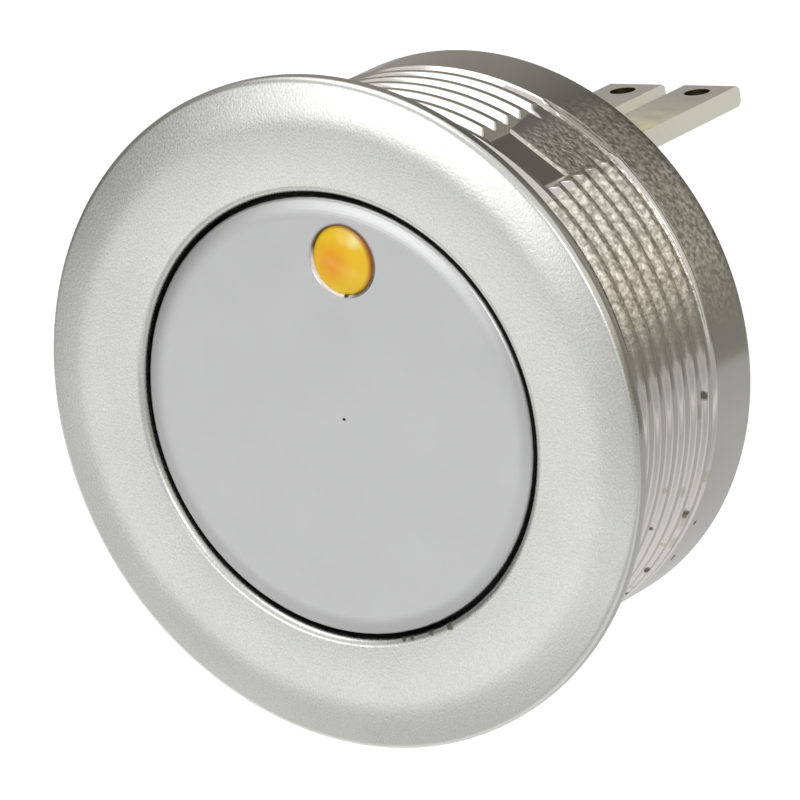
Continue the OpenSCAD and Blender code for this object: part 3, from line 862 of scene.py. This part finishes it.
CARDS = {
    "rear_card": {"middle": (-0.12, 0.4, 0.2), "across": (0.7, 0, 0), "along": (0, 0, 0.28),
                  "color": WARM_WHITE, "axis": "X", "stops": REAR_GLOW, "span": REAR_GLOW_SPAN},
    "left_card": {"middle": (-0.45, 0.05, 0.1), "across": (0, 0.4, 0), "along": (0, 0, 0.2),
                  "color": WARM_WHITE, "axis": "Z", "stops": LEFT_GLOW, "span": UPRIGHT_SPAN},
    "side_card": {"middle": (0.35, 0.06, 0.15), "across": (0, 0.33, 0), "along": (0, 0, 0.15),
                  "color": CREAM, "axis": "Z", "stops": SIDE_GLOW, "span": UPRIGHT_SPAN},
}
SOFTBOXES = {
    "overhead": {"spot": (-0.15, -0.05, 0.4), "wide": 0.35, "high": 0.35, "watts": 0.6},
    "key": {"spot": (0.2, -0.4, 0.2), "wide": 0.14, "high": 0.14, "watts": 0.25},
    "front": {"spot": (-0.15, -0.328, 0), "wide": 0.15, "high": 0.1, "watts": 0.102},
}


def seen_directly(tree):
    """1 for rays from the camera, in mirrors and through glass."""
    path = node(tree, "ShaderNodeLightPath").outputs
    pair = sums(tree, "MAXIMUM", path["Is Camera Ray"], path["Is Glossy Ray"])
    return sums(tree, "MAXIMUM", pair, path["Is Transmission Ray"])


def plane(name, middle, across, along):
    """A flat stage piece, given its middle and half of each side."""
    middle, across, along = Vector(middle), Vector(across), Vector(along)
    corners = [middle + across * a + along * b for a, b in ((-1, -1), (1, -1), (1, 1), (-1, 1))]
    mesh = bpy.data.meshes.new(name)
    mesh.from_pydata(corners, [], [(0, 1, 2, 3)])
    made = add_object(name, mesh)
    return made


def levels(tree, value, stops, span):
    """Levels along a coordinate in metres."""
    share = spread(tree, value, 0, 1, *span)
    low, high = span
    return ramp(tree, share, [((at - low) / (high - low), (level,) * 3) for at, level in stops])


def white_floor():
    """Pale floor, white to the camera and of several levels in mirrors."""
    made, tree, surface = shader("floor")
    x, y, _ = axes(tree)
    mirrored = product(tree, levels(tree, y, FLOOR_GLOW, FLOOR_GLOW_SPAN),
                       levels(tree, x, FLOOR_SIDES, FLOOR_SIDES_SPAN))
    direct = node(tree, "ShaderNodeLightPath").outputs["Is Camera Ray"]
    glow = mixed(tree, direct, product(tree, seen_directly(tree), mirrored), FLOOR_SEEN, "FLOAT")
    connect(tree, surface, Base_Color=FLOOR_COLOR, Roughness=FLOOR_ROUGH, Emission_Color=WHITE,
            Emission_Strength=glow)
    floor = plane("floor", (0, 0, FLOOR_Z), (FLOOR_HALF, 0, 0), (0, FLOOR_HALF, 0))
    floor.data.materials.append(made)


def card(name, middle, across, along, color, axis, stops, span):
    """A wall beside the set that only mirrors show."""
    made, tree, surface = shader(name)
    connect(tree, surface, Base_Color=BLACK, Roughness=1.0, Emission_Color=color,
            Emission_Strength=levels(tree, axes(tree)[axis], stops, span))
    wall = plane(name, middle, across, along)
    wall.data.materials.append(made)
    wall.visible_camera = False
    wall.visible_diffuse = False
    wall.visible_shadow = False


def set_world():
    """White all round, and a little less than white as light on the part."""
    world = bpy.data.worlds.new("studio")
    bpy.context.scene.world = world
    world.use_nodes = True
    tree = world.node_tree
    connect(tree, tree.nodes["Background"], Color=WHITE,
            Strength=spread(tree, seen_directly(tree), WORLD_LEVEL, 1, 0, 1))


def softbox(name, spot, wide, high, watts):
    """A lamp with a flat front that looks at the part."""
    data = bpy.data.lights.new(name, "AREA")
    data.shape = "RECTANGLE"
    data.size = wide
    data.size_y = high
    data.energy = watts
    lamp = add_object(name, data)
    lamp.location = spot
    lamp.rotation_euler = (-Vector(spot)).to_track_quat("-Z", "Y").to_euler()


white_floor()
set_world()
for name, form in CARDS.items():
    card(name, **form)
for name, form in SOFTBOXES.items():
    softbox(name, **form)
bpy.context.scene.view_settings.view_transform = "Standard"

bpy.context.view_layer.update()
